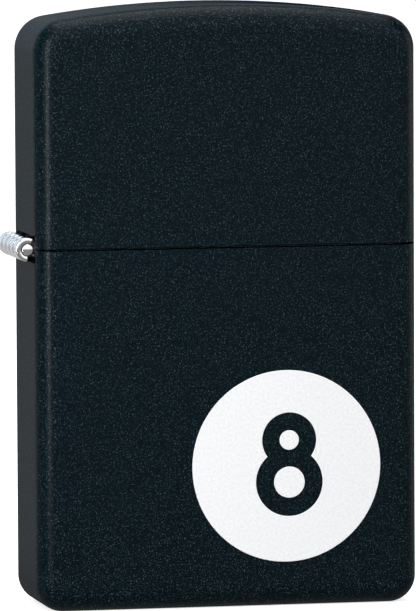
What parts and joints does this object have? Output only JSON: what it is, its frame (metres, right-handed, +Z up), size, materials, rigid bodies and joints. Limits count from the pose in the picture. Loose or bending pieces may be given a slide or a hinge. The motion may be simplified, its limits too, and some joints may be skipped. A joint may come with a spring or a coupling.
{
  "type": "flip-top windproof lighter",
  "caption": "Flip-top windproof pocket lighter with a domed lid, side hinge, removable wick insert and a numeral disc printed on its front.",
  "frame": {"origin": "centre of the lower shell's flat base", "axes": "+Z up, -Y the front with the printed disc, -X the hinge side"},
  "size_m": [0.0383, 0.0128, 0.057],
  "materials": {
    "powder_coat": "matte black powder coat",
    "hinge_chrome": "polished",
    "white_print": "matte raised ink",
    "insert_steel": "bright sheet steel",
    "hard_steel": "hardened, dark",
    "spring_steel": "spring temper",
    "brass": "turned",
    "flint_metal": "dull",
    "copper_wire": "bare wire",
    "wick_cotton": "braided",
    "packing_fibre": "loose fibre",
    "felt": "pressed felt"
  },
  "bodies": {
    "case": {"case_bottom": "powder_coat", "case_hinge_plate": "hinge_chrome", "hinge_pin": "hinge_chrome", "number_disc": "white_print", "number_counter_upper": "white_print", "number_counter_lower": "white_print"},
    "lid": {"lid_shell": "powder_coat", "lid_hinge_plate": "hinge_chrome"},
    "insert": {"insert_can": "insert_steel", "top_plate": "insert_steel", "windscreen": "insert_steel", "wheel_axle": "hard_steel", "cam_rivet": "insert_steel", "cam_spring": "spring_steel", "spring_rivet": "insert_steel", "flint_tube": "brass", "wick": "wick_cotton", "wick_wires": "copper_wire", "felt_pad": "felt", "packing_wad_1": "packing_fibre", "packing_wad_2": "packing_fibre", "packing_wad_3": "packing_fibre", "packing_wad_4": "packing_fibre", "packing_wad_5": "packing_fibre"},
    "flint_wheel": {"flint_wheel": "hard_steel"},
    "cam": {"cam_lever": "spring_steel"},
    "flint": {"flint": "flint_metal", "flint_spring_tip": "brass"},
    "flint_screw": {"flint_screw": "brass", "flint_spring": "spring_steel"}
  },
  "joints": [
    {"name": "lid_hinge", "type": "hinge", "parent": "case", "child": "lid", "pos_m": [-0.0189, 0, 0.0342], "axis": [0, -1, 0], "range_deg": [0, 150]},
    {"name": "insert_slide", "type": "slide", "parent": "case", "child": "insert", "axis": [0, 0, 1], "range_m": [0, 0.0045]},
    {"name": "wheel_spin", "type": "hinge", "parent": "insert", "child": "flint_wheel", "pos_m": [0.00819, 0, 0.0408], "axis": [0, 1, 0], "continuous": true},
    {"name": "cam_pivot", "type": "hinge", "parent": "insert", "child": "cam", "pos_m": [-0.0132, 0, 0.0378], "axis": [0, -1, 0], "range_deg": [0, 35]},
    {"name": "flint_feed", "type": "slide", "parent": "insert", "child": "flint", "axis": [0, 0, -1], "range_m": [0, 0.004], "stiffness_N_per_m": 20, "springref_m": -0.01, "deforming": ["flint_spring"]},
    {"name": "flint_screw_turn", "type": "hinge", "parent": "insert", "child": "flint_screw", "pos_m": [0.00819, 0, 0.0013], "axis": [0, 0, 1], "continuous": true}
  ],
  "couplings": [
    {"joint": "cam_pivot", "follows": "lid_hinge", "ratio": 0.2333}
  ]
}
